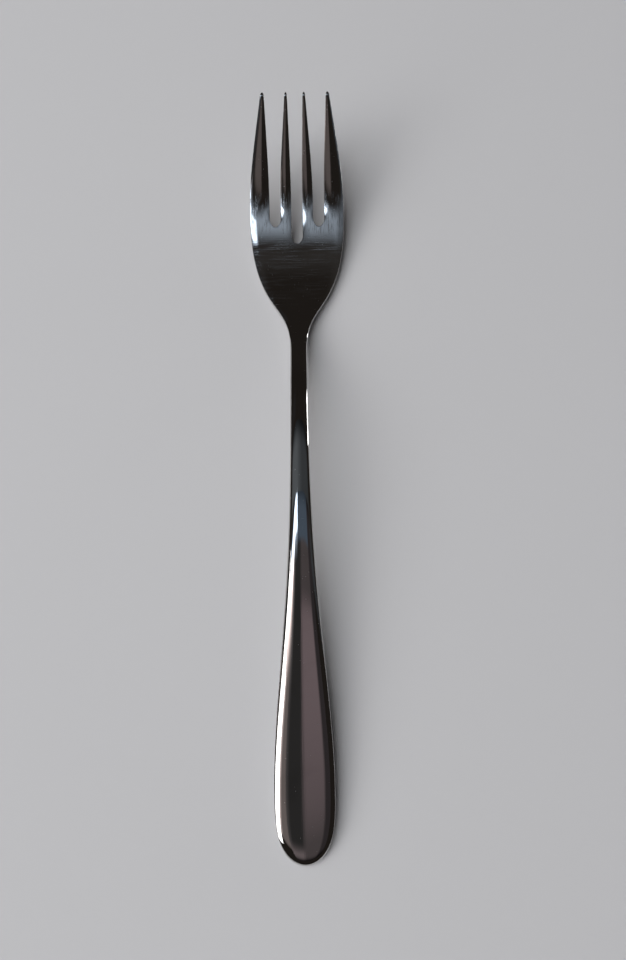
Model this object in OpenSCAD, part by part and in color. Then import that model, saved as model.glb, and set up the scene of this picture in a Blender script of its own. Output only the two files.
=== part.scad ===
// Fish fork of polished steel, lying face up on a table.
// X runs across the fork, Y along it towards the tips, and Z up. The table is at Z = 0.
// Places along the fork are measured from the end of the handle.
// The origin is under the middle of its length.
// Every cross-section is a crowned top and a crowned back over a rim, about one edge line.

/* [Overall] */
// Length from the end of the handle to the tips of the tines
overall_length = 186; // [178:1:198]

/* [Handle] */
// Width of the handle at its widest
handle_width = 13.4; // [10:0.1:16]
// Distance from the end of the handle to its widest place
handle_widest_at = 16; // [11:0.5:24]
// Height of the handle's rounded top above its edge line
handle_crown = 2; // [1.2:0.1:2.8]
// Depth of the handle's rounded back below its edge line
handle_belly = 1.6; // [1:0.1:2.4]
// Thickness of the handle along its rim
handle_rim = 0.9; // [0.4:0.1:1.6]
// Radius of the long curve of the handle's sides at its widest
handle_side_radius = 123; // [90:1:200]

/* [Neck] */
// Width of the neck at its narrowest
neck_width = 4.4; // [3.4:0.1:5.6]
// Distance from the narrowest place of the neck to the tips
neck_to_tips = 69; // [65:0.5:74]
// Height of the neck's rounded top above its edge line
neck_crown = 1.7; // [1.2:0.1:2.4]
// Depth of the neck's rounded back below its edge line
neck_belly = 1.5; // [1:0.1:2.2]
// Thickness of the neck along its rim
neck_rim = 1.6; // [0.8:0.1:2]
// Length of the neck between handle and palm
neck_length = 36; // [28:1:44]

/* [Head] */
// Width of the head across the roots of the tines
head_width = 24.9; // [22:0.1:28]
// Length of the palm between the neck and the roots of the tines
palm_length = 36.5; // [33:0.5:42]
// Thickness of the palm
palm_thickness = 2.1; // [1.6:0.1:2.8]
// Thickness of the palm along its rim
palm_rim = 1.5; // [0.4:0.1:2]
// Distance from the middle of the shoulders to the tips
shoulder_to_tips = 52.7; // [50:0.1:56]
// Width of the head at the middle of the shoulders
shoulder_width = 13.6; // [11.5:0.1:16]
// Angle between the sides of the shoulders and the length of the fork
shoulder_angle = 31; // [24:0.5:36]
// Radius of the rounded sides of the shoulders
shoulder_radius = 24.5; // [20:0.5:60]
// Radius of the curve of the head's sides at the roots of the tines
head_side_radius = 110; // [80:2:160]
// Width of the bevel along the edges of the palm and of the slots
edge_bevel = 2.4; // [0.8:0.1:3]
// Width of the small rounding of every rim
rim_rounding = 0.1; // [0.05:0.05:0.4]

/* [Tines] */
// Length of the tines from their roots to their tips
tine_length = 28.5; // [24:0.5:33]
// Width of the slots between the tines at their roots
slot_width = 2.8; // [2:0.1:3.4]
// Width of each inner tine at its root
inner_tine_width = 2.95; // [2.4:0.05:4]
// Depth of the two outer slots, measured from the tips
outer_slot_depth = 31.1; // [27:0.1:38]
// Depth of the middle slot, measured from the tips
middle_slot_depth = 35.6; // [27:0.1:42]
// Length of the rounded end of each slot
slot_end_length = 2.2; // [1:0.1:3.4]
// Distance between the tips of the outer tines
outer_tip_spread = 16.9; // [15:0.1:19]
// Distance between the tips of the inner tines
inner_tip_spread = 4.7; // [3.8:0.1:5.8]
// Width of the outer tines at their tips
outer_tip_width = 0.9; // [0.8:0.05:1.8]
// Width of the inner tines at their tips
inner_tip_width = 0.75; // [0.7:0.05:1.6]
// Thickness of the tines at their tips
tip_thickness = 1.3; // [0.9:0.1:1.9]
// Thickness of the tines along their rims at the tips
tip_rim = 1.15; // [0.4:0.05:1.6]
// Length of the rounded end of each tine
tip_rounding = 1.2; // [0.8:0.1:4]

/* [Side profile] */
// Height of the top of the fork at the crest, the highest place between handle and palm
crest_height = 10.3; // [8:0.1:15]
// Distance from the crest to the tips
crest_to_tips = 98; // [92:1:104]
// Radius of the bend over the crest
crest_radius = 115; // [80:5:160]
// Angle at which the handle rises from its end
handle_rise = 6.5; // [4.5:0.5:8.5]
// Distance from the lowest place of the head, the cup, to the tips
cup_to_tips = 48.6; // [46:0.1:51]
// Radius of the bend under the cup
cup_radius = 64; // [50:1:80]
// Height of the edge line at the tips of the tines
tip_height = 16; // [12:0.1:20]
// Angle at which the tines rise at their tips
tip_rise = 24; // [18:0.5:28]

/* [Hidden] */

steel = [0.74, 0.74, 0.73];

// Fullness of the handle's rounded end, and of the crowned sections
end_fullness = 3.3;
section_fullness = 2.3;
// How much the crown leans back from upright where it meets the rim, on the handle and on the head
handle_lean = 0.4;
head_lean = 2;
// How much steeper the sides of a tine run at its tip than on average
tine_taper = 1.35;
// Distance past the roots of the tines at which the bevels along the slots reach their full depth
slot_bevel_run = 2.5;
// Steps across each quarter of a section
columns = 6;
// Smallest distance between two sections
row_gap = 0.05;

// Places along the fork
neck_at = overall_length - neck_to_tips;
shoulder_at = overall_length - shoulder_to_tips;
crest_at = overall_length - crest_to_tips;
cup_at = overall_length - cup_to_tips;
root_at = overall_length - tine_length;
palm_start = root_at - palm_length;
neck_start = palm_start - neck_length;
outer_slot_end = overall_length - outer_slot_depth;
middle_slot_end = overall_length - middle_slot_depth;

// Distances from the middle of the head to the sides of the right-hand tines, at the roots
inner_tine_inside = slot_width / 2;
inner_tine_outside = inner_tine_inside + inner_tine_width;
outer_slot_at = inner_tine_outside + slot_width / 2;
outer_tine_inside = inner_tine_outside + slot_width;
outer_tine_outside = head_width / 2;
outer_tine_width = outer_tine_outside - outer_tine_inside;

// Curve through marks of [place, value, slope, bend], smooth in slope and bend
function curve(marks, s, i = 0) =
    i < len(marks) - 2 && s > marks[i + 1][0] ? curve(marks, s, i + 1) : span(marks[i], marks[i + 1], s);

function span(from, to, s) =
    let (
        reach = to[0] - from[0],
        t = (s - from[0]) / reach,
        t3 = t ^ 3,
        t4 = t ^ 4,
        t5 = t ^ 5
    )
    from[1] * (1 - 10 * t3 + 15 * t4 - 6 * t5)
    + from[2] * reach * (t - 6 * t3 + 8 * t4 - 3 * t5)
    + from[3] * reach ^ 2 * (t ^ 2 - 3 * t3 + 3 * t4 - t5) / 2
    + to[3] * reach ^ 2 * (t3 - 2 * t4 + t5) / 2
    + to[2] * reach * (-4 * t3 + 7 * t4 - 3 * t5)
    + to[1] * (10 * t3 - 15 * t4 + 6 * t5);

// Share of the full section left at the rounded ends of the handle, of a tine and of a slot
function handle_end(s) =
    s < handle_widest_at ? sqrt(1 - (1 - s / handle_widest_at) ^ end_fullness) : 1;
function tine_end(s) =
    let (past = s - overall_length + tip_rounding)
    past > 0 ? sqrt(max(0, 1 - (past / tip_rounding) ^ 2)) : 1;
function slot_end(s, end) =
    let (left = 1 - (s - end) / slot_end_length)
    left > 0 ? sqrt(max(0, 1 - left ^ 2)) : 1;

// Side of a tine, from its place at the root to its place at the tip
function tine_side(root, tip, bend, s) =
    curve(
        [[root_at, root, 0, bend], [overall_length, tip, tine_taper * (tip - root) / tine_length, 0]],
        max(s, root_at)
    );

// Half the width of the fork
side_marks = [
    [handle_widest_at, handle_width / 2, 0, -1 / handle_side_radius],
    [neck_at, neck_width / 2, 0, 0],
    [shoulder_at, shoulder_width / 2, tan(shoulder_angle), -1 / shoulder_radius],
    [root_at, outer_tine_outside, 0, -1 / head_side_radius],
];
function side(s) =
    s > root_at
    ? tine_side(outer_tine_outside, (outer_tip_spread + outer_tip_width) / 2, -1 / head_side_radius, s)
    : handle_end(s) * curve(side_marks, max(s, handle_widest_at));
function side_slope(s) = s < neck_at ? 0 : (side(s + 0.01) - side(s - 0.01)) / 0.02;

// Height of the top above the edge line, and depth of the back below it
function thickness_marks(at_handle, at_neck) = [
    [handle_widest_at, at_handle, 0, 0],
    [neck_at, at_neck, 0, 0],
    [cup_at, palm_thickness / 2, 0, 0],
    [root_at, palm_thickness / 2, 0, 0],
    [overall_length, tip_thickness / 2, tine_taper * (tip_thickness - palm_thickness) / 2 / tine_length, 0],
];
crown_marks = thickness_marks(handle_crown, neck_crown);
belly_marks = thickness_marks(handle_belly, neck_belly);
function crown(s) = handle_end(s) * tine_end(s) * curve(crown_marks, max(s, handle_widest_at));
function belly(s) = handle_end(s) * tine_end(s) * curve(belly_marks, max(s, handle_widest_at));

// Half the thickness along the rim
rim_marks = [
    [handle_widest_at, handle_rim / 2, 0, 0],
    [neck_at, neck_rim / 2, 0, 0],
    [cup_at, palm_rim / 2, 0, 0],
    [root_at, palm_rim / 2, 0, 0],
    [overall_length, tip_rim / 2, 0, 0],
];
function rim(s) = handle_end(s) * tine_end(s) * curve(rim_marks, max(s, handle_widest_at));

// Height of the edge line above the table: the handle's end and the cup both rest on it
handle_end_height = max([for (s = handle_rows()) belly(s) - s * tan(handle_rise)]);
height_marks = [
    [0, handle_end_height, tan(handle_rise), 0],
    [crest_at, crest_height - neck_crown, 0, -1 / crest_radius],
    [cup_at, palm_thickness / 2, 0, 1 / cup_radius],
    [overall_length, tip_height, tan(tip_rise), 0],
];
function height(s) = curve(height_marks, s);

// Half the width of the middle slot, and the two sides of the right-hand slot.
// Behind its end a slot has no width, and the steel on both sides of it touches.
function middle_slot(s) =
    slot_end(s, middle_slot_end)
    * tine_side(inner_tine_inside, (inner_tip_spread - inner_tip_width) / 2, 0, s);
function outer_slot(s) =
    let (
        place = max(s, outer_slot_end),
        inside = tine_side(inner_tine_outside, (inner_tip_spread + inner_tip_width) / 2, 0, place),
        outside = tine_side(outer_tine_inside, (outer_tip_spread - outer_tip_width) / 2, 0, place),
        middle = (inside + outside) / 2 * side(s) / side(place),
        half = (outside - inside) / 2 * slot_end(s, outer_slot_end)
    )
    [middle - half, middle + half];

// Quarters are numbered from left to right, and those on the left mirror those on the right
function is_outer(number) = number == 0 || number == 3;
function quarter(number, s) =
    let (sides = is_outer(number) ? [outer_slot(s)[1], side(s)] : [middle_slot(s), outer_slot(s)[0]])
    let (middle = (sides[0] + sides[1]) / 2, half = (sides[1] - sides[0]) / 2 * tine_end(s))
    number > 1 ? [middle - half, middle + half] : [-middle - half, -middle + half];

// Value that passes from the neck's to the head's between neck and shoulders
function neck_to_head(at_neck, at_head, s) =
    curve([[neck_at, at_neck, 0, 0], [shoulder_at, at_head, 0, 0]], max(neck_at, min(shoulder_at, s)));
function lean(s) = neck_to_head(handle_lean, head_lean, s);

// Width of the bevel along the edges: the whole half width on handle and neck, a border on the palm.
// The bevel of a tine narrows with the tine.
function bevel(number, s) =
    s < neck_at ? side(s)
    : s < root_at ? neck_to_head(side(neck_at), edge_bevel, s)
    : edge_bevel * quarter(number, s) * [-1, 1] / (is_outer(number) ? outer_tine_width : inner_tine_width);

// Distance from a place on the palm to the rim of a slot
function slot_distance(across, s, end) =
    let (
        share = [across / (slot_width / 2), max(0, end + slot_end_length - s) / slot_end_length],
        reach = norm(share),
        steepness = norm([share[0] / (slot_width / 2), share[1] / slot_end_length]) / reach
    )
    (reach - 1) / steepness;

// Share of the bevel along the sides of a slot: none at the slot's end, all of it past the roots
function slot_bevel(s, end) =
    let (full = max(root_at, end) + slot_bevel_run)
    curve([[end, 0, 0, 0], [full, 1, 0, 0]], max(end, min(full, s)));

// Whether a side of a quarter is a free edge
function left_free(number, s) =
    number == 0 ? true : number == 2 ? s >= middle_slot_end : s >= outer_slot_end;
function right_free(number, s) =
    number == 3 ? true : number == 1 ? s >= middle_slot_end : s >= outer_slot_end;

// Edges near a place, each with its distance and its share of the bevel
function tine_edges(number, x, s) =
    let (
        sides = quarter(number, s),
        outer_slot_bevel = slot_bevel(s, outer_slot_end),
        middle_slot_bevel = slot_bevel(s, middle_slot_end)
    )
    [
        [
            left_free(number, s) ? x - sides[0] : overall_length,
            number == 0 ? 1 : number == 2 ? middle_slot_bevel : outer_slot_bevel,
        ],
        [
            right_free(number, s) ? sides[1] - x : overall_length,
            number == 3 ? 1 : number == 1 ? middle_slot_bevel : outer_slot_bevel,
        ],
    ];
function body_edges(x, s) = [
    [(side(s) - abs(x)) / norm([1, side_slope(s)]), 1],
    [slot_distance(abs(x) - outer_slot_at, s, outer_slot_end), slot_bevel(s, outer_slot_end)],
    [slot_distance(x, s, middle_slot_end), slot_bevel(s, middle_slot_end)],
];

// How much of the crown an edge takes away, at a distance given as a share of the bevel's width
function loss(share) = max(0, 1 - share) ^ section_fullness;
function total(list, i = 0) = i < len(list) ? list[i] + total(list, i + 1) : 0;

// Shares of the rim's height and of the crown's height above it that are left at a place
function rim_share(distance) =
    distance < rim_rounding ? sqrt(max(0, 1 - (1 - distance / rim_rounding) ^ 2)) : 1;
function crown_share(left, lean) =
    (norm([lean, sqrt(max(0, left))]) - lean) / (norm([lean, 1]) - lean);
function shares(number, x, s) =
    let (
        edges = s > root_at ? tine_edges(number, x, s) : body_edges(x, s),
        width = max(0.000001, bevel(number, s)),
        left = 1 - total([for (edge = edges) edge[1] * loss(edge[0] / width)])
    )
    [rim_share(min([for (edge = edges) edge[0]])), crown_share(left, lean(s))];

// Points of one quarter of a section: the top from left to right, then the back from left to right
function quarter_points(number, s) =
    let (
        sides = quarter(number, s),
        middle = (sides[0] + sides[1]) / 2,
        half = (sides[1] - sides[0]) / 2,
        across = [for (j = [0:columns]) middle - half * cos(180 * j / columns)],
        left = [
            for (j = [0:columns])
            (j == 0 && left_free(number, s)) || (j == columns && right_free(number, s))
            ? [0, 0]
            : shares(number, across[j], s)
        ],
        y = s - overall_length / 2
    )
    concat(
        [for (j = [0:columns]) [across[j], y, height(s) + left[j] * [rim(s), crown(s) - rim(s)]]],
        [for (j = [0:columns]) [across[j], y, height(s) - left[j] * [rim(s), belly(s) - rim(s)]]]
    );

// Places of the sections along each part
function steps(from, to, count) = [for (i = [0:count - 1]) from + (to - from) * i / count];
function handle_rows() = concat(
    [for (angle = [0:7.5:82.5]) handle_widest_at * (1 - cos(angle))],
    steps(handle_widest_at, neck_start, 22),
    [neck_start]
);
function neck_rows() = concat(steps(neck_start, palm_start, 18), [palm_start]);
function slot_rows(end) = concat(
    [for (angle = [90:-22.5:22.5]) end - edge_bevel * (1 - cos(angle))],
    [for (angle = [15:15:90]) end + slot_end_length * (1 - cos(angle))]
);
function tip_rows() = [for (angle = [0:15:75]) overall_length - tip_rounding * (1 - sin(angle))];

// Places in order, each once
function in_order(places) =
    len(places) == 0
    ? []
    : let (pick = places[floor(len(places) / 2)])
    concat(
        in_order([for (place = places) if (place < pick) place]),
        [pick],
        in_order([for (place = places) if (place > pick) place])
    );

// Both ends of a part, the slot ends between them, and the other places that keep clear of those
function rows_between(from, to, others) =
    let (
        marks = [
            for (mark = [from, middle_slot_end, outer_slot_end, to])
            if (mark >= from && mark <= to)
            mark
        ],
        clear = [
            for (other = others)
            let (place = row_gap * round(other / row_gap))
            if (place > from && place < to && min([for (mark = marks) abs(place - mark)]) > row_gap)
            place
        ]
    )
    in_order(concat(marks, clear));
function palm_rows() =
    let (behind_slots = min(middle_slot_end, outer_slot_end) - edge_bevel)
    rows_between(palm_start, root_at, concat(
        steps(palm_start, behind_slots, 18),
        slot_rows(middle_slot_end),
        slot_rows(outer_slot_end)
    ));
function tine_rows() =
    rows_between(root_at, overall_length, concat(
        slot_rows(middle_slot_end),
        slot_rows(outer_slot_end),
        steps(root_at, overall_length - tip_rounding, 14),
        tip_rows()
    ));

function apart(a, b) = norm(a - b) > 0.000001;
function is_whole(points, face) =
    apart(points[face[0]], points[face[1]])
    && apart(points[face[1]], points[face[2]])
    && apart(points[face[2]], points[face[0]]);

// Two triangles over four corners
function quad(a, b, c, d) = [[a, b, c], [a, c, d]];

// Closed skin over some quarters of the sections at the given places.
// The walls on its two sides have no height along free edges.
// They close a tine where it touches the next one.
module skin(numbers, rows) {
    ring = 2 * (columns + 1);
    sheet = len(rows) * ring;
    last = len(rows) - 1;
    points = [for (number = numbers) for (s = rows) each quarter_points(number, s)];
    ends_and_sheets = [
        for (k = [0:len(numbers) - 1])
        for (j = [0:columns - 1])
        let (
            top = k * sheet + j,
            back = top + columns + 1,
            far_top = top + last * ring,
            far_back = back + last * ring
        )
        each concat(
            quad(top, top + 1, back + 1, back),
            quad(far_top, far_back, far_back + 1, far_top + 1),
            [
                for (i = [0:last - 1])
                let (a = top + i * ring, b = back + i * ring)
                each concat(
                    quad(a, a + ring, a + ring + 1, a + 1),
                    quad(b, b + 1, b + ring + 1, b + ring)
                )
            ]
        )
    ];
    walls = [
        for (i = [0:last - 1])
        let (
            left_top = i * ring,
            left_back = left_top + columns + 1,
            right_top = left_top + (len(numbers) - 1) * sheet + columns,
            right_back = right_top + columns + 1
        )
        each concat(
            quad(left_back, left_back + ring, left_top + ring, left_top),
            quad(right_top, right_top + ring, right_back + ring, right_back)
        )
    ];
    faces = concat(ends_and_sheets, walls);
    polyhedron(points, [for (face = faces) if (is_whole(points, face)) face]);
}

module handle() {
    color(steel) skin([0, 1, 2, 3], handle_rows());
}

module neck() {
    color(steel) skin([0, 1, 2, 3], neck_rows());
}

module palm() {
    color(steel) skin([0, 1, 2, 3], palm_rows());
}

module tine(number) {
    color(steel) skin([number], tine_rows());
}

module left_outer_tine() {
    tine(0);
}

module left_inner_tine() {
    tine(1);
}

module right_inner_tine() {
    tine(2);
}

module right_outer_tine() {
    tine(3);
}

handle();
neck();
palm();
left_outer_tine();
left_inner_tine();
right_inner_tine();
right_outer_tine();
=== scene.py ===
# %% [markdown]
# # A polished fish fork
# A fish fork is one piece of stainless steel: a teardrop handle, a slim neck, a broad palm and four
# tines. The solids from the construction program come in as a fixed frame, in metres, and they say
# where each part of the fork lies. This lesson makes a finer skin in the same places, gives it a
# polished finish, and lights it on a pale table.

# %% Load the frame
import math

import bmesh
import bpy
from mathutils import Matrix, Vector


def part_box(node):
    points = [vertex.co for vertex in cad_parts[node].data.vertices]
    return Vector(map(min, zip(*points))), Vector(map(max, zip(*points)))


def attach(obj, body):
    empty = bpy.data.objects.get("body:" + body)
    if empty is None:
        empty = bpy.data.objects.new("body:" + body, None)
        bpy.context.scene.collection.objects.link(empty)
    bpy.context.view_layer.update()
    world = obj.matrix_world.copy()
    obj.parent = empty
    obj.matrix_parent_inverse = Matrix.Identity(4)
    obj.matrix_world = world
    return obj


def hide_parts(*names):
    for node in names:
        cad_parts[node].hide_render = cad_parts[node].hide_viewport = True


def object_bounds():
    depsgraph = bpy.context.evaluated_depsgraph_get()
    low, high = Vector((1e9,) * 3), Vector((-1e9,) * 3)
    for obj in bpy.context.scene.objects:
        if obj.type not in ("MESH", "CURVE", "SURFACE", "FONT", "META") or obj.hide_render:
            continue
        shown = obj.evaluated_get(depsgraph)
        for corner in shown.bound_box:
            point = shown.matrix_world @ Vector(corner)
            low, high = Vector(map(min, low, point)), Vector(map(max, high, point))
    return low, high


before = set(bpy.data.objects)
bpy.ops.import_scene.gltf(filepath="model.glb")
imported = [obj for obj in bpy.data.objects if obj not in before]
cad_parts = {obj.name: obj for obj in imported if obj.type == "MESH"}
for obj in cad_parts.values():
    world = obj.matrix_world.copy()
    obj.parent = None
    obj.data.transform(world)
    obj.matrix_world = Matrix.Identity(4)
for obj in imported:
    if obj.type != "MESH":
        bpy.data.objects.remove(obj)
cad_low, cad_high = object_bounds()
MM = 0.001
print("solids:", len(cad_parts), "box in mm:", [round(v / MM, 2) for v in cad_high - cad_low])

# %% [markdown]
# ## The camera
# The picture looks down on the fork from above the handle, with the tines further away. A camera
# can be turned by hand until it fits, but working out its three axes from where it stands, what it
# looks at and how the picture is turned keeps every number readable.

# %% Camera
camera_place = Vector((2.8, -51.7, 171.6)) * MM
camera_target = Vector((3, -7, 0)) * MM
picture_turn = math.radians(0.99)

camera_back = (camera_place - camera_target).normalized()
picture_up = Vector((math.sin(picture_turn), math.cos(picture_turn), 0))
camera_right = picture_up.cross(camera_back).normalized()
camera_up = camera_back.cross(camera_right)

camera = bpy.data.objects.new("camera", bpy.data.cameras.new("camera"))
camera.data.sensor_width = 36
camera.data.lens = 27
camera.data.clip_start = 0.01
axes = Matrix((camera_right, camera_up, camera_back)).transposed()
camera.matrix_world = Matrix.Translation(camera_place) @ axes.to_4x4()
bpy.context.scene.collection.objects.link(camera)
bpy.context.scene.camera = camera
print("camera stands", round(camera_place.z / MM), "mm above the table")

# %% [markdown]
# ## Places along the fork
# Everything is measured in millimetres from the end of the handle. The frame already knows the
# length, the widths and where one part passes into the next, so these are read from its boxes.
# The other places are where the outline is widest and narrowest, where the shoulders turn, and
# where the side profile is highest and lowest.

# %% Places
length = (cad_high.y - cad_low.y) / MM


def along(y):
    return (y - cad_low.y) / MM


neck_start = along(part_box("neck")[0].y)
palm_start = along(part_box("palm")[0].y)
root_at = along(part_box("left_inner_tine")[0].y)
tine_length = length - root_at
widest_at = 16
neck_at = length - 69
shoulder_at = length - 52.7
crest_at = length - 98
cup_at = length - 48.6
starts = [round(place, 1) for place in (neck_start, palm_start, root_at)]
print("neck, palm and tines start at", starts, "of", round(length, 1))

# %% [markdown]
# ## One smooth curve for everything
# Polished metal shows every kink, because a reflection jumps where the slope does, and breaks where
# the bend does. Bezier curves could be drawn by eye. Here each curve runs through a few marks of
# place, value, slope and bend, with a fifth-degree span between two marks, so that slope and bend
# both pass smoothly through every mark.

# %% Smooth curves
def span(start, end, s):
    reach = end[0] - start[0]
    t = (s - start[0]) / reach
    t2, t3, t4, t5 = t**2, t**3, t**4, t**5
    return (
        start[1] * (1 - 10 * t3 + 15 * t4 - 6 * t5)
        + start[2] * reach * (t - 6 * t3 + 8 * t4 - 3 * t5)
        + start[3] * reach**2 * (t2 - 3 * t3 + 3 * t4 - t5) / 2
        + end[3] * reach**2 * (t3 - 2 * t4 + t5) / 2
        + end[2] * reach * (-4 * t3 + 7 * t4 - 3 * t5)
        + end[1] * (10 * t3 - 15 * t4 + 6 * t5)
    )


def curve(marks, s):
    for start, end in zip(marks, marks[1:]):
        if s <= end[0]:
            return span(start, end, s)
    return span(marks[-2], marks[-1], s)


test_marks = [(0, 0, 0, 0), (1, 1, 0, 0)]
print("a curve from 0 to 1:", [round(curve(test_marks, quarter / 4), 3) for quarter in range(5)])

# %% [markdown]
# ## The outline seen from above
# The handle ends in a blunt round, swells, thins to the neck and flares into shoulders. Past the
# roots each tine has sides of its own. The end of the handle is rounded by a share that grows from
# nothing to one, the way a quarter of an ellipse does.

# %% Outline of handle, neck and head
handle_width = (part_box("handle")[1].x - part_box("handle")[0].x) / MM
head_width = (cad_high.x - cad_low.x) / MM
neck_width = 4.4
shoulder_width = 13.6
shoulder_slope = math.tan(math.radians(31))
handle_side_radius = 123
shoulder_radius = 24.5
head_side_radius = 110
end_fullness = 3.3
tine_taper = 1.35
outer_tip_spread, outer_tip_width = 16.9, 0.9


def handle_end(s):
    return math.sqrt(1 - (1 - s / widest_at) ** end_fullness) if s < widest_at else 1


def tine_side(root, tip, bend, s):
    marks = [(root_at, root, 0, bend), (length, tip, tine_taper * (tip - root) / tine_length, 0)]
    return curve(marks, max(s, root_at))


side_marks = [
    (widest_at, handle_width / 2, 0, -1 / handle_side_radius),
    (neck_at, neck_width / 2, 0, 0),
    (shoulder_at, shoulder_width / 2, shoulder_slope, -1 / shoulder_radius),
    (root_at, head_width / 2, 0, -1 / head_side_radius),
]


def side(s):
    if s > root_at:
        tip = (outer_tip_spread + outer_tip_width) / 2
        return tine_side(head_width / 2, tip, -1 / head_side_radius, s)
    return handle_end(s) * curve(side_marks, max(s, widest_at))


print("half widths:", [round(side(s), 2) for s in (widest_at, neck_at, shoulder_at, root_at, length)])

# %% [markdown]
# ## The slots
# Three slots are punched out between the tines, and their ends are round. Cutting rounded bars out
# of the palm would do it too, but then the bevel along the slots would be hard to control. So a slot
# is the space between the sides of two tines, closed by a round end. Each ends a little nearer to the
# handle than in the solids, by 0.6 or 0.7 mm, as measured.

# %% Slots between the tines
outer_slot_end = length - 31.8
middle_slot_end = length - 36.2
slot_width = 2.8
slot_end_length = 2.2
inner_tine_width = (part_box("left_inner_tine")[1].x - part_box("left_inner_tine")[0].x) / MM
inner_tip_spread, inner_tip_width = 4.7, 0.75
inner_tine_outside = slot_width / 2 + inner_tine_width
outer_slot_at = inner_tine_outside + slot_width / 2
outer_tine_inside = inner_tine_outside + slot_width
outer_tine_width = head_width / 2 - outer_tine_inside


def slot_end(s, end):
    left = 1 - (s - end) / slot_end_length
    return math.sqrt(max(0, 1 - left**2)) if left > 0 else 1


def middle_slot(s):
    tip = (inner_tip_spread - inner_tip_width) / 2
    return slot_end(s, middle_slot_end) * tine_side(slot_width / 2, tip, 0, s)


def outer_slot(s):
    place = max(s, outer_slot_end)
    inside = tine_side(inner_tine_outside, (inner_tip_spread + inner_tip_width) / 2, 0, place)
    outside = tine_side(outer_tine_inside, (outer_tip_spread - outer_tip_width) / 2, 0, place)
    middle = (inside + outside) / 2 * side(s) / side(place)
    half = (outside - inside) / 2 * slot_end(s, outer_slot_end)
    return middle - half, middle + half


print("middle slot at the roots:", round(2 * middle_slot(root_at), 2), "wide")
print("right slot at the roots: from and to", [round(v, 2) for v in outer_slot(root_at)])

# %% [markdown]
# ## Thickness and side profile
# Seen from the side, the fork rises from the end of the handle to a crest, falls to the cup under
# the palm and rises again to the tips. The edge line runs along this profile. The crown is the
# height of the top above the edge line, and the belly is the depth of the back below it.

# %% Thickness
handle_crown, neck_crown = 2, 1.7
handle_belly, neck_belly = 1.6, 1.5
palm_thickness = 2.1
tip_thickness = 1.3
tip_rounding = 1.2


def tine_end(s):
    past = s - length + tip_rounding
    return math.sqrt(max(0, 1 - (past / tip_rounding) ** 2)) if past > 0 else 1


def thickness_marks(at_handle, at_neck):
    tip_slope = tine_taper * (tip_thickness - palm_thickness) / 2 / tine_length
    return [
        (widest_at, at_handle, 0, 0),
        (neck_at, at_neck, 0, 0),
        (cup_at, palm_thickness / 2, 0, 0),
        (root_at, palm_thickness / 2, 0, 0),
        (length, tip_thickness / 2, tip_slope, 0),
    ]


crown_marks = thickness_marks(handle_crown, neck_crown)
belly_marks = thickness_marks(handle_belly, neck_belly)


def crown(s):
    return handle_end(s) * tine_end(s) * curve(crown_marks, max(s, widest_at))


def belly(s):
    return handle_end(s) * tine_end(s) * curve(belly_marks, max(s, widest_at))


thicknesses = [round(crown(s) + belly(s), 2) for s in (widest_at, neck_at, cup_at, root_at)]
print("thickness of handle, neck, palm and roots:", thicknesses)

# %% Side profile
handle_rise = math.tan(math.radians(6.5))
tip_rise = math.tan(math.radians(24))
tip_height = 16
crest_radius = 115
cup_radius = 64
tenths = [tenth / 10 for tenth in range(10 * widest_at)]
handle_end_height = max(belly(place) - place * handle_rise for place in tenths)
crest_height = (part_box("neck")[1].z - cad_low.z) / MM - crown(crest_at)

height_marks = [
    (0, handle_end_height, handle_rise, 0),
    (crest_at, crest_height, 0, -1 / crest_radius),
    (cup_at, palm_thickness / 2, 0, 1 / cup_radius),
    (length, tip_height, tip_rise, 0),
]


def height(s):
    return curve(height_marks, s)


heights = [round(height(s), 2) for s in (0, crest_at, cup_at, length)]
print("edge line at the end, crest, cup and tips:", heights)

# %% [markdown]
# ## Rims
# A fork is cut from sheet, so it keeps an upright rim all round, which polishing only softens. The
# rim is lower on the handle, where the edges are ground thinner. It is measured up and down from the
# edge line, and a tiny rounding joins it to the top and the back.

# %% Rims
handle_rim, neck_rim, palm_rim, tip_rim = 0.9, 1.6, 1.5, 1.15
rim_rounding = 0.1
rim_marks = [
    (widest_at, handle_rim / 2, 0, 0),
    (neck_at, neck_rim / 2, 0, 0),
    (cup_at, palm_rim / 2, 0, 0),
    (root_at, palm_rim / 2, 0, 0),
    (length, tip_rim / 2, 0, 0),
]


def rim(s):
    return handle_end(s) * tine_end(s) * curve(rim_marks, max(s, widest_at))


def rim_share(distance):
    return math.sqrt(max(0, 1 - (1 - distance / rim_rounding) ** 2)) if distance < rim_rounding else 1


print("half the rim of handle and palm:", round(rim(widest_at), 2), round(rim(cup_at), 2))

# %% [markdown]
# ## Bevels
# Above and below the rim the steel is crowned: right across on handle and neck, and along a border,
# the bevel, on the palm and tines. A bevel modifier would cut one flat facet. Here the crown fades
# smoothly towards each edge: every edge nearby takes a share of it away, and where two edges are
# near, both take theirs, so no crease is left between. The bevel of a slot begins at the slot's end
# and grows to its full depth just past the roots.

# %% Bevels along the sides
edge_bevel = 2.4
section_fullness = 2.3
handle_lean, head_lean = 0.4, 2


def side_slope(s):
    step = 0.01
    return 0 if s < neck_at else (side(s + step) - side(s - step)) / (2 * step)


def neck_to_head(at_neck, at_head, s):
    marks = [(neck_at, at_neck, 0, 0), (shoulder_at, at_head, 0, 0)]
    return curve(marks, max(neck_at, min(shoulder_at, s)))


def body_bevel(s):
    return side(s) if s < neck_at else neck_to_head(side(neck_at), edge_bevel, s)


def crown_share(edges, bevel, lean):
    taken = sum(share * max(0, 1 - distance / bevel) ** section_fullness for distance, share in edges)
    full = math.hypot(lean, 1) - lean
    return (math.hypot(lean, math.sqrt(max(0, 1 - taken))) - lean) / full


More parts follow.
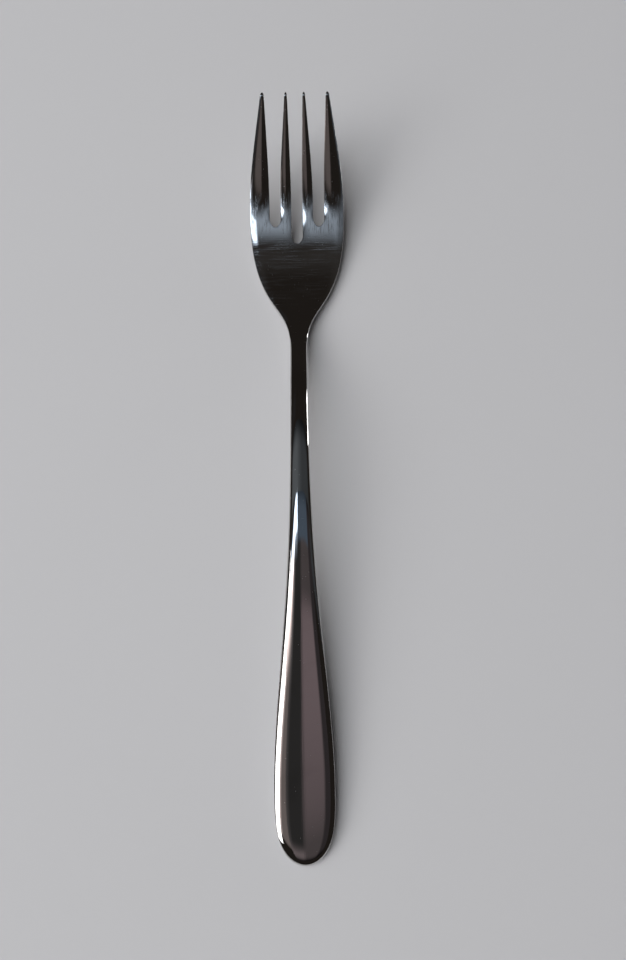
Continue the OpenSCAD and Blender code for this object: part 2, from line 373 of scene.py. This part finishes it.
kept = crown_share([(edge_bevel / 2, 1)], edge_bevel, head_lean)
print("halfway up the bevel of the palm,", round(kept, 2), "of the crown is left")

# %% Bevels along the slots
slot_bevel_run = 2.5


def slot_distance(across, s, end):
    behind = max(0, end + slot_end_length - s)
    share = Vector((across / (slot_width / 2), behind / slot_end_length))
    steepness = Vector((share.x / (slot_width / 2), share.y / slot_end_length)).length / share.length
    return (share.length - 1) / steepness


def slot_bevel(s, end):
    full = max(root_at, end) + slot_bevel_run
    return curve([(end, 0, 0, 0), (full, 1, 0, 0)], max(end, min(full, s)))


def body_edges(x, s):
    return (
        ((side(s) - abs(x)) / math.hypot(1, side_slope(s)), 1),
        (slot_distance(abs(x) - outer_slot_at, s, outer_slot_end), slot_bevel(s, outer_slot_end)),
        (slot_distance(x, s, middle_slot_end), slot_bevel(s, middle_slot_end)),
    )


print("at the roots a slot has", round(slot_bevel(root_at, outer_slot_end), 2), "of its bevel")

# %% [markdown]
# ## Sections
# The fork is built like a ship's hull, from sections across it. Each section has four quarters from
# left to right, one for each tine, and behind the slots they touch. Points crowd towards the sides
# of a quarter, where the surface turns fastest. The first few stand on the small rounding of the rim
# and close beside it, so that the smooth shading of the rim doesn't spread over the top.

# %% Points across a section
rim_steps = (0, 0.1, 0.3, 0.6, 1, 1.2)
top_steps = 22
least_units = 8
columns = 2 * len(rim_steps) + top_steps - 2


def points_across(left, right):
    width = right - left
    unit = min(rim_rounding, width / least_units)
    near = [step * unit for step in rim_steps]
    half = width / 2 - near[-1]
    top = [width / 2 - half * math.cos(math.pi * step / top_steps) for step in range(1, top_steps)]
    return [left + place for place in near + top + [width - place for place in near[::-1]]]


print("a quarter has", columns, "faces across its top")

# %% Quarters and their edges
outer_quarters, inner_quarters = (0, 3), (1, 2)


def quarter(number, s):
    inner, outer = outer_slot(s)
    left, right = (outer, side(s)) if number in outer_quarters else (middle_slot(s), inner)
    middle, half = (left + right) / 2, (right - left) / 2 * tine_end(s)
    return (middle - half, middle + half) if number > 1 else (-middle - half, -middle + half)


def free_edges(number, s):
    inner_free = s >= (middle_slot_end if number in inner_quarters else outer_slot_end)
    outer_free = s >= outer_slot_end if number in inner_quarters else True
    return (inner_free, outer_free) if number > 1 else (outer_free, inner_free)


def tine_edges(number, x, s):
    left, right = quarter(number, s)
    outer_slot_bevel, middle_slot_bevel = slot_bevel(s, outer_slot_end), slot_bevel(s, middle_slot_end)
    left_share = (1, outer_slot_bevel, middle_slot_bevel, outer_slot_bevel)[number]
    right_share = (outer_slot_bevel, middle_slot_bevel, outer_slot_bevel, 1)[number]
    return (x - left, left_share), (right - x, right_share)


at_roots = [[round(x, 2) for x in quarter(number, root_at)] for number in range(4)]
print("quarters at the roots:", at_roots)

# %% One section
least_bevel = 0.000001


def shares(number, x, s):
    if s > root_at:
        left, right = quarter(number, s)
        root_width = outer_tine_width if number in outer_quarters else inner_tine_width
        edges, bevel = tine_edges(number, x, s), edge_bevel * (right - left) / root_width
    else:
        edges, bevel = body_edges(x, s), body_bevel(s)
    nearest = min(distance for distance, share in edges)
    lean = neck_to_head(handle_lean, head_lean, s)
    return rim_share(nearest), crown_share(edges, max(least_bevel, bevel), lean)


def section(number, s):
    left, right = quarter(number, s)
    free_left, free_right = free_edges(number, s)
    y = cad_low.y / MM + s
    top, back = [], []
    for step, x in enumerate(points_across(left, right)):
        on_edge = (step == 0 and free_left) or (step == columns and free_right)
        of_rim, of_crown = (0, 0) if on_edge else shares(number, x, s)
        rise = of_rim * rim(s) + of_crown * (crown(s) - rim(s))
        drop = of_rim * rim(s) + of_crown * (belly(s) - rim(s))
        top.append(Vector((x, y, height(s) + rise)) * MM)
        back.append(Vector((x, y, height(s) - drop)) * MM)
    return top, back


top, back = section(2, cup_at)
print("a quarter of the palm has", len(top), "points on top and", len(back), "on the back")

# %% [markdown]
# ## Where the sections stand
# Sections stand about a millimetre apart on the long parts, and crowd together where the outline
# turns quickly: at the end of the handle, round the ends of the slots and at the tips.

# %% Places of the sections
handle_step, neck_step, palm_step, tine_step = 1.1, 0.8, 0.7, 0.8
handle_end_count, behind_slot_count, slot_end_count, tip_count = 40, 16, 22, 20
least_step = 0.004


def spaced(start, end, step):
    count = max(1, round((end - start) / step))
    return [start + (end - start) * i / count for i in range(count + 1)]


def crowding(start, end, count):
    return [start + (end - start) * (1 - math.cos(math.pi / 2 * i / count)) for i in range(count + 1)]


def in_order(places, keep):
    kept = sorted(keep)
    for place in sorted(places):
        if min(abs(place - other) for other in kept) > least_step:
            kept.append(place)
    return sorted(kept)


slot_places = []
for end in (middle_slot_end, outer_slot_end):
    slot_places += crowding(end, end - edge_bevel, behind_slot_count)
    slot_places += crowding(end, end + slot_end_length, slot_end_count)
palm_places = spaced(palm_start, root_at, palm_step) + slot_places
tip_places = crowding(length, length - tip_rounding, tip_count)
tine_places = spaced(root_at, length - tip_rounding, tine_step) + tip_places

handle_rows = crowding(0, widest_at, handle_end_count)[:-1] + spaced(widest_at, neck_start, handle_step)
neck_rows = spaced(neck_start, palm_start, neck_step)
palm_rows = in_order(palm_places, [palm_start, middle_slot_end, outer_slot_end, root_at])
tine_rows = in_order(tine_places, [root_at, length])
print("sections:", len(handle_rows), len(neck_rows), len(palm_rows), len(tine_rows))

# %% [markdown]
# ## One skin, then seven pieces
# Reflections must run across the joins without a break. So the skin is first made whole and welded,
# and its normals are taken from the whole. Then it is divided where the solids are, each piece is
# closed with a flat cap at its cut, and every piece keeps the normals of the whole skin.

# %% Whole skin
part_rows = {
    "handle": ((0, 1, 2, 3), handle_rows),
    "neck": ((0, 1, 2, 3), neck_rows),
    "palm": ((0, 1, 2, 3), palm_rows),
    "left_outer_tine": ((0,), tine_rows),
    "left_inner_tine": ((1,), tine_rows),
    "right_inner_tine": ((2,), tine_rows),
    "right_outer_tine": ((3,), tine_rows),
}
weld_distance = 0.0005 * MM


def add_sheet(skin, rows, facing_up, part_index):
    grid = [[skin.verts.new(point) for point in row] for row in rows]
    for near, far in zip(grid, grid[1:]):
        for j in range(columns):
            corners = [near[j], near[j + 1], far[j + 1], far[j]]
            face = skin.faces.new(corners if facing_up else corners[::-1])
            face.material_index = part_index
            face.smooth = True


skin = bmesh.new()
for part_index, (numbers, rows) in enumerate(part_rows.values()):
    for number in numbers:
        sections = [section(number, s) for s in rows]
        add_sheet(skin, [top for top, back in sections], True, part_index)
        add_sheet(skin, [back for top, back in sections], False, part_index)
bmesh.ops.remove_doubles(skin, verts=skin.verts, dist=weld_distance)
skin.normal_update()
skin.verts.index_update()
loose_ends = sum(1 for edge in skin.edges if len(edge.link_faces) != 2)
print("skin:", len(skin.verts), "points,", len(skin.faces), "faces, open edges:", loose_ends)

# %% Seven closed pieces
def cut_piece(name, part_index):
    piece_mesh = bmesh.new()
    points, whole_normals = {}, []
    for face in skin.faces:
        if face.material_index == part_index:
            for vert in face.verts:
                if vert.index not in points:
                    points[vert.index] = piece_mesh.verts.new(vert.co)
                    whole_normals.append(vert.normal.copy())
            new_face = piece_mesh.faces.new([points[vert.index] for vert in face.verts])
            new_face.smooth = True
    piece_mesh.verts.index_update()
    cut_edges = [edge for edge in piece_mesh.edges if edge.is_boundary]
    caps = bmesh.ops.holes_fill(piece_mesh, edges=cut_edges, sides=0)["faces"]
    for cap in caps:
        cap.smooth = False
    bmesh.ops.recalc_face_normals(piece_mesh, faces=piece_mesh.faces)
    mesh = bpy.data.meshes.new(name)
    piece_mesh.to_mesh(mesh)
    piece_mesh.free()
    print(name, len(mesh.polygons), "faces,", len(caps), "caps")
    return mesh, whole_normals


def keep_normals(mesh, whole_normals):
    corner_normals = []
    for polygon in mesh.polygons:
        for corner in polygon.loop_indices:
            vertex = mesh.loops[corner].vertex_index
            corner_normals.append(whole_normals[vertex] if polygon.use_smooth else polygon.normal)
    mesh.normals_split_custom_set(corner_normals)


pieces = {}
for part_index, part in enumerate(part_rows):
    mesh, whole_normals = cut_piece("polished_" + part, part_index)
    keep_normals(mesh, whole_normals)
    pieces[part] = bpy.data.objects.new(mesh.name, mesh)
    bpy.context.scene.collection.objects.link(pieces[part])
skin.free()

# %% [markdown]
# ## Riding on the frame
# Each piece stands for the solid of the same name and moves with the one body that the fork is. It
# takes its finish of polished steel further down.

# %% Pieces stand for their solids
for part, piece in pieces.items():
    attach(piece, "root")
    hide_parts(part)
    print(piece.name, "stands for", part)

# %% [markdown]
# ## Helpers for shader nodes
# Materials here are made of small steps: a sum, a product, a value that fades from one level to
# another. They could be wired by hand in the shader editor. A few helpers that add a node and link
# its inputs keep each step on one line. A fade says where it starts and ends, and then, if they
# aren't 0 and 1, its levels before and after.

# %% Small helpers for shader nodes
def add_node(tree, kind, inputs=None, **settings):
    node = tree.nodes.new(kind)
    for name, value in settings.items():
        setattr(node, name, value)
    for name, value in (inputs or {}).items():
        if isinstance(value, bpy.types.NodeSocket):
            tree.links.new(value, node.inputs[name])
        else:
            node.inputs[name].default_value = value
    return node


def work_out(tree, operation, *values):
    node = add_node(tree, "ShaderNodeMath", dict(enumerate(values)), operation=operation)
    return node.outputs[0]


def fade(tree, value, start, end, low=0, high=1):
    inputs = {"Value": value, "From Min": start, "From Max": end, "To Min": low, "To Max": high}
    return add_node(tree, "ShaderNodeMapRange", inputs, interpolation_type="SMOOTHSTEP").outputs[0]


def soft_step(tree, value, middle, softness, low=0, high=1):
    return fade(tree, value, middle - softness, middle + softness, low, high)


# %% [markdown]
# ## Polished steel
# Stainless steel is a plain grey metal with a sharp reflection. A single roughness would look like
# chrome plating. On the real fork the buffing wheel leaves hairlines: across the palm, and along the
# handle, the neck and the tines. On the head they also dull the polish in fine strokes, which blurs
# what is mirrored there. Washing and handling add soft smudges and a few tiny pits. All of this comes
# from noise in the fork's own coordinates, so it stays on the steel in every view.

# %% Hairlines, smudges and pits
scratch_levels, smudge_levels, pit_levels = (0.42, 0.7), (0.5, 0.72), (0.78, 0.81)
steel = bpy.data.materials.new("polished_steel")
steel.use_nodes = True
tree = steel.node_tree
on_steel = add_node(tree, "ShaderNodeTexCoord").outputs["Object"]
along_fork = add_node(tree, "ShaderNodeSeparateXYZ", {"Vector": on_steel}).outputs["Y"]


def noise(scale, detail, stretch=(1, 1, 1)):
    stretched = add_node(tree, "ShaderNodeMapping", {"Vector": on_steel, "Scale": stretch})
    inputs = {"Vector": stretched.outputs["Vector"], "Scale": scale, "Detail": detail}
    return add_node(tree, "ShaderNodeTexNoise", inputs).outputs["Fac"]


def along_between(start, end, low=0, high=1):
    return fade(tree, along_fork, cad_low.y + start * MM, cad_low.y + end * MM, low, high)


lines_across = noise(scale=6000, detail=3, stretch=(0.02, 1, 0.3))
lines_along = noise(scale=4500, detail=3, stretch=(1, 0.012, 0.3))
head_begins = along_between(palm_start + 4, shoulder_at)
palm_ends = along_between(root_at - 8, root_at - 4, 1, 0)
head_ends = along_between(root_at + 2, root_at + 8, 1, 0)
on_palm = work_out(tree, "MULTIPLY", head_begins, palm_ends)
on_head = work_out(tree, "MULTIPLY", head_begins, head_ends)
both_ways = {"Factor": on_palm, "A": lines_along, "B": lines_across}
hairlines = add_node(tree, "ShaderNodeMix", both_ways).outputs[0]
scratches = work_out(tree, "MULTIPLY", on_head, fade(tree, hairlines, *scratch_levels))
smudges = fade(tree, noise(scale=90, detail=4), *smudge_levels)
pits = fade(tree, noise(scale=2600, detail=1), *pit_levels)
print("marks on the steel are made of", len(tree.nodes), "nodes")

# %% Steel from its parts
steel_color = (0.62, 0.61, 0.6, 1)
worn_color = (0.55, 0.54, 0.53, 1)
smooth_polish, dull_polish = 0.045, 0.45
scratch_dullness, smudge_dullness = 0.52, 0.1
hairline_depth = 3e-6

dull_smudges = work_out(tree, "MULTIPLY", smudges, smudge_dullness)
dullness = work_out(tree, "MULTIPLY_ADD", scratches, scratch_dullness, dull_smudges)
dullness = work_out(tree, "MAXIMUM", dullness, pits)
roughness = fade(tree, dullness, 0, 1, smooth_polish, dull_polish)
colors = {"Factor": smudges, "A": steel_color, "B": worn_color}
color = add_node(tree, "ShaderNodeMix", colors, data_type="RGBA")
marks = {"Height": hairlines, "Strength": 1, "Distance": hairline_depth}
relief = add_node(tree, "ShaderNodeBump", marks)
shader = tree.nodes["Principled BSDF"]
shader.inputs["Metallic"].default_value = 1
tree.links.new(color.outputs["Result"], shader.inputs["Base Color"])
tree.links.new(roughness, shader.inputs["Roughness"])
tree.links.new(relief.outputs["Normal"], shader.inputs["Normal"])
for piece in pieces.values():
    piece.data.materials.append(steel)
print("steel is made of", len(tree.nodes), "nodes")

# %% [markdown]
# ## The table
# The fork lies on a pale table, wide enough to reach the horizon in every view. Farther away the
# camera sees the table pass into the plain colour of the backdrop, so no horizon shows. Only the
# camera sees this: light and reflections still meet a plain table.

# %% Table
table_reach = 8


def rectangle(left, right, back, front):
    return [(left, back), (right, back), (right, front), (left, front)]


def cut_sheet(name, outline, height):
    sheet_mesh = bpy.data.meshes.new(name)
    sheet_mesh.from_pydata([(x, y, height) for x, y in outline], [], [range(len(outline))])
    sheet = bpy.data.objects.new(name, sheet_mesh)
    bpy.context.scene.collection.objects.link(sheet)
    print(name, "has", len(outline), "corners and lies at a height of", height, "m")
    return sheet


table = cut_sheet("table", rectangle(-table_reach, table_reach, -table_reach, table_reach), 0)

# %% Paleness of the table
table_color, backdrop_color = (0.58, 0.58, 0.59, 1), (0.53, 0.53, 0.54, 1)
table_roughness = 0.9
fade_from, fade_to = 0.25, 0.6
pale = bpy.data.materials.new("pale_table")
pale.use_nodes = True
tree = pale.node_tree
near_table = tree.nodes["Principled BSDF"]
near_table.inputs["Base Color"].default_value = table_color
near_table.inputs["Roughness"].default_value = table_roughness
far_table = add_node(tree, "ShaderNodeEmission", {"Color": backdrop_color, "Strength": 1})
on_table = add_node(tree, "ShaderNodeTexCoord").outputs["Object"]
away = add_node(tree, "ShaderNodeVectorMath", {0: on_table}, operation="LENGTH").outputs["Value"]
seen_directly = add_node(tree, "ShaderNodeLightPath").outputs["Is Camera Ray"]
far_share = work_out(tree, "MULTIPLY", fade(tree, away, fade_from, fade_to), seen_directly)
near_and_far = {0: far_share, 1: near_table.outputs[0], 2: far_table.outputs[0]}
near_and_far = add_node(tree, "ShaderNodeMixShader", near_and_far)
tree.links.new(near_and_far.outputs[0], tree.nodes["Material Output"].inputs["Surface"])
table.data.materials.append(pale)
print("table passes into the backdrop from", fade_from, "to", fade_to, "m away")

# %% [markdown]
# ## Light for a mirror
# A polished fork is a mirror, so its look is the look of the room. One wide window on the left,
# slanting like a roof, draws the white line along the handle. A small low panel on the right, further
# forward, draws the thin line on the edges that face it. Both are only a few times brighter than
# white, because a very bright lamp leaves jagged edges in a mirror.

# %% Window and low panel
def add_panel(name, center, size, brightness, slant=0):
    light = bpy.data.lights.new(name, "AREA")
    light.shape = "RECTANGLE"
    light.size, light.size_y = size
    light.energy = brightness * math.pi * size[0] * size[1]
    lamp = bpy.data.objects.new(name, light)
    lamp.location = center
    long_side = Vector((0, math.cos(slant), math.sin(slant)))
    back = Vector((math.copysign(1, center[0]), 0, 0))
    lamp.rotation_euler = Matrix((long_side, back.cross(long_side), back)).transposed().to_euler()
    bpy.context.scene.collection.objects.link(lamp)
    print(name, "shines with", round(light.energy, 1), "watts")


window_away = 1.5
window_middle = (-window_away, -0.47 * window_away, 0.53 * window_away)
window_size = (0.9 * window_away, 0.57 * window_away)
window_slant = math.radians(31)
window_brightness = 4
low_panel_middle, low_panel_size, low_panel_brightness = (1.4, 0.77, 0.12), (0.48, 0.2), 8
add_panel("window", window_middle, window_size, window_brightness, window_slant)
add_panel("low_panel", low_panel_middle, low_panel_size, low_panel_brightness)

# %% [markdown]
# ## Soft light on the table
# The window alone would leave the table dark, and more light from it would burn out the line on the
# handle. So a large soft lamp, high up on the left, lights the table and throws the soft shadow to
# the right of the fork. It is hidden from the mirror of the steel, which keeps its dark tones.

# %% Soft lamp
soft_lamp_place, soft_lamp_size, soft_lamp_brightness = Vector((-1.3, 0, 1.6)), 3, 1.82
soft_light = bpy.data.lights.new("soft_lamp", "AREA")
soft_light.size = soft_lamp_size
soft_light.energy = soft_lamp_brightness * math.pi * soft_lamp_size**2
soft_lamp = bpy.data.objects.new("soft_lamp", soft_light)
soft_lamp.location = soft_lamp_place
soft_lamp.rotation_euler = soft_lamp_place.to_track_quat("Z", "Y").to_euler()
soft_lamp.visible_glossy = soft_lamp.visible_camera = False
bpy.context.scene.collection.objects.link(soft_lamp)
print("soft_lamp shines with", round(soft_light.energy, 1), "watts, but isn't mirrored")

# %% [markdown]
# ## The room around it
# The rest of the room is dim, because the steel shows it at full strength. Pictures of rooms could be
# wrapped round the scene, but a few soft patches say more clearly what each tone on the fork mirrors.
# Each place on the ceiling is found from its direction: how far to the right and how far forward it
# lies, both for one unit of height. Patches are made by fades to the right and forward, multiplied.

# %% Directions in the room
lowest = 0.02
world = bpy.data.worlds.new("room")
world.use_nodes = True
bpy.context.scene.world = world
room = world.node_tree
direction = add_node(room, "ShaderNodeTexCoord").outputs["Generated"]
parts = add_node(room, "ShaderNodeSeparateXYZ", {"Vector": direction}).outputs
up = work_out(room, "MAXIMUM", parts["Z"], lowest)
to_right = work_out(room, "DIVIDE", parts["X"], up)
forward = work_out(room, "DIVIDE", parts["Y"], up)


def by_right(start, end, low=0, high=1):
    return fade(room, to_right, start, end, low, high)


def by_forward(start, end, low=0, high=1):
    return fade(room, forward, start, end, low, high)


def between(value, start, end, soft):
    rises = soft_step(room, value, start, soft)
    return work_out(room, "MULTIPLY", rises, soft_step(room, value, end, soft, 1, 0))


def product(first, *others):
    for other in others:
        first = work_out(room, "MULTIPLY", first, other)
    return first


def total(first, *others):
    for other in others:
        first = work_out(room, "ADD", first, other)
    return first


print("directions are made of", len(room.nodes), "nodes")

# %% [markdown]
# ## A strip across the ceiling
# A bright strip crosses the ceiling from the window to the right. It makes the pale band over the
# roots of the tines, and it dims as it runs to the right. Near the window it is white, and its edges
# slant: there it draws the white patches on the palm and the top of the line on the neck.

# %% Strip
strip_dims = product(by_right(-0.05, 0.3, 0.4, 0.165), by_right(0.4, 0.9, 1, 0.25))
strip_left_end = by_right(-0.75, -0.6, 0.1, 1)
strip_near_side = by_forward(-0.03, 0.045)
far_shift = by_right(-0.12, 0.12, 0.02, -0.015)
strip_far_side = fade(room, total(forward, far_shift), 0.06, 0.2, 1, 0)
strip_middle = product(strip_dims, strip_near_side, strip_left_end, strip_far_side)

white_brightness = 2.6
near_edge = by_right(-0.9, -0.45, -0.045, 0.04)
far_edge = by_right(-1.2, -0.4, 0.065, 0.155)
past_near_edge = soft_step(room, work_out(room, "SUBTRACT", forward, near_edge), 0, 0.01)
before_far_edge = soft_step(room, work_out(room, "SUBTRACT", forward, far_edge), 0, 0.015, 1, 0)
white_reach = between(to_right, -1.3, -0.2, 0.07)
strip_near_window = product(white_reach, past_near_edge, before_far_edge, white_brightness)
strip_light = total(strip_middle, strip_near_window)
print("strip has a brightness of", white_brightness, "near the window")

# %% [markdown]
# ## Walls and backdrop
# The wall behind the strip is dim, and it gives the tines their brown tone. Beside the window the
# wall catches more light, most of all along the slanting frame, which softens the right edge of the
# white line on the handle. Everything else is almost black. The camera itself sees a plain pale
# backdrop instead of the dim room.

# %% Walls
wall = product(between(forward, -1.1, -0.06, 0.015), by_right(-0.05, 0.01, 0.09, 0))
frame_lean, frame_at = -0.45, 0.1
past_frame = work_out(room, "SUBTRACT", to_right, frame_at)
past_frame = work_out(room, "MULTIPLY_ADD", forward, frame_lean, past_frame)
frame_light = fade(room, past_frame, -0.97, -0.74, 0.6, 0)
wall_near_window = product(by_forward(-0.2, -0.08, 0.06, 0.2), by_right(-0.65, -0.4, 1, 0))
light_ahead = product(by_forward(-0.2, 0, 0, 2), by_right(-0.8, -0.55, 1, 0))
around_window = product(between(to_right, -1.4, 2, 0.2), between(forward, -1, 0.02, 0.03))
window_side = product(total(wall_near_window, frame_light, light_ahead), around_window)
wall_light = total(wall, window_side)
far_brightness = 0.02
far_light = product(between(forward, 0.17, 0.36, 0.14), far_brightness)
print("strip and walls are made of", len(room.nodes), "nodes")

# %% Colours of the room, and backdrop
strip_color, wall_color, far_color = (0.84, 1, 1.2), (1.12, 0.95, 0.93), (1, 1, 1)
darkest_color = (0.018, 0.015, 0.013)


def tint(color, strength):
    scaled = add_node(room, "ShaderNodeVectorMath", {0: color, "Scale": strength}, operation="SCALE")
    return scaled.outputs[0]


room_light = darkest_color
for color, strength in ((strip_color, strip_light), (wall_color, wall_light), (far_color, far_light)):
    both_lights = {0: tint(color, strength), 1: room_light}
    room_light = add_node(room, "ShaderNodeVectorMath", both_lights, operation="ADD").outputs[0]
seen_directly = add_node(room, "ShaderNodeLightPath").outputs["Is Camera Ray"]
backdrop = {"Factor": seen_directly, "A": room_light, "B": backdrop_color}
backdrop = add_node(room, "ShaderNodeMix", backdrop, data_type="RGBA")
room.links.new(backdrop.outputs["Result"], room.nodes["Background"].inputs["Color"])
bpy.context.scene.view_settings.view_transform = "Standard"
print("room is made of", len(room.nodes), "nodes")

# %% [markdown]
# ## A card over the handle
# Photographers hang cards over polished metal to choose what it mirrors. A card could be any sheet of
# paper in a stand. This one shines a little by itself, so no lamp has to reach it, and only the
# steel sees it: it throws no shadow and doesn't light the table. It hangs so near that only the
# handle and the end of the neck mirror it. The palm and the tines look past its front edge.

# %% Card over the handle
def hang_card(name, outline, height):
    hung = cut_sheet(name, outline, height)
    hung.visible_camera = hung.visible_shadow = hung.visible_diffuse = False
    paint = bpy.data.materials.new(name + "_paint")
    paint.use_nodes = True
    paint.node_tree.nodes.clear()
    hung.data.materials.append(paint)
    return hung, paint.node_tree


card_height = 0.19
card_back, card_end, card_step, card_front = -0.46, -0.265, -0.034, 0.022
card_left, card_inset, card_seam, card_border, card_right = -0.105, -0.047, -0.007, 0.112, 0.22
outline = [(card_left, card_back), (card_right, card_back), (card_right, card_front)]
outline += [(card_inset, card_front), (card_inset, card_step), (card_left, card_step)]
card, tree = hang_card("card", outline, card_height)

# %% [markdown]
# ## Colours of the card
# The card is blue-grey in front, dark on the left and mauve on the right, with a dark border at its
# right end. These are the long stripes on the handle. The seams are soft, as the polish blurs them,
# and each colour passes into a paler or dimmer one along the handle.

# %% Colours of the card
dark_card, border_card = (0.03, 0.029, 0.029, 1), (0.036, 0.031, 0.033, 1)
mauve_card, dim_mauve_card = (0.19, 0.147, 0.157, 1), (0.085, 0.072, 0.074, 1)
blue_card, pale_card = (0.08, 0.105, 0.14, 1), (0.17, 0.14, 0.145, 1)
edge_card = (0.2, 0.18, 0.185, 1)
blue_at, front_fade, back_fade, edge_width = -0.021, 0.022, 0.15, 0.035


def places_on(tree):
    place = add_node(tree, "ShaderNodeTexCoord").outputs["Object"]
    return add_node(tree, "ShaderNodeSeparateXYZ", {"Vector": place}).outputs


def paint_over(first, second, share):
    colors = {"Factor": share, "A": first, "B": second}
    return add_node(tree, "ShaderNodeMix", colors, data_type="RGBA").outputs["Result"]


def shine(tree, color, strength=1):
    light = add_node(tree, "ShaderNodeEmission", {"Color": color, "Strength": strength}).outputs[0]
    add_node(tree, "ShaderNodeOutputMaterial", {"Surface": light})


place = places_on(tree)
x, y = place["X"], place["Y"]
at_left = fade(tree, x, card_left, card_left + edge_width, 1, 0)
left_light = work_out(tree, "MULTIPLY", at_left, fade(tree, y, -0.11, -0.045, 0.3, 1))
left_half = paint_over(dark_card, edge_card, left_light)
left_half = paint_over(left_half, pale_card, soft_step(tree, y, card_end, 0.045, 1, 0))
right_half = paint_over(dim_mauve_card, mauve_card, fade(tree, y, -0.24, -0.07))
right_half = paint_over(right_half, dim_mauve_card, fade(tree, y, -0.062, -0.045))
painted = paint_over(left_half, right_half, soft_step(tree, x, card_seam, 0.008))
painted = paint_over(painted, blue_card, soft_step(tree, y, blue_at, 0.003))
painted = paint_over(painted, border_card, soft_step(tree, x, card_border, 0.017))
dims_in_front = fade(tree, y, card_front - front_fade, card_front, 1, 0.3)
dims_behind = fade(tree, y, card_back, card_back + back_fade, 0.1, 1)
shine(tree, painted, work_out(tree, "MULTIPLY", dims_in_front, dims_behind))
print("paint of the card is made of", len(tree.nodes), "nodes")

# %% [markdown]
# ## Two smaller cards
# A second card hangs lower, over the neck. Like the first it glows by itself and only the steel sees
# it, so the blue-grey sheen that fades towards the palm is a painted reflection. A black one hangs to
# the left of the tines. Without it the outer tine would mirror the white end of the strip all along
# its edge, and lose its dark outline; this dark outline is a painted dark reflection.

# %% Small card over the neck
small_height = 0.09
small_left, small_right, small_back, small_front = -0.15, 0.12, 0, 0.06
small_color = (0.92, 1, 1.08, 1)
outline = rectangle(small_left, small_right, small_back, small_front)
small_card, tree = hang_card("small_card", outline, small_height)
place = places_on(tree)
x, y = place["X"], place["Y"]
# The card's glow fades to the right and to the front: a painted blue-grey sheen on the neck.
dims_to_right = fade(tree, x, -0.03, 0.015, 0.12, 0.055)
dims_to_front = fade(tree, y, small_front / 2, small_front, 1, 0.2)
shine(tree, small_color, work_out(tree, "MULTIPLY", dims_to_right, dims_to_front))

# %% Black card beside the tines
black_left, black_right, black_back, black_front = -0.25, -0.046, 0.073, 0.11
black_color = (0.022, 0.02, 0.02, 1)
outline = rectangle(black_left, black_right, black_back, black_front)
# A dark sheet that only the steel sees: the dark outline of the outer tine is a painted dark
# reflection.
black_card, tree = hang_card("black_card", outline, small_height)
shine(tree, black_color)
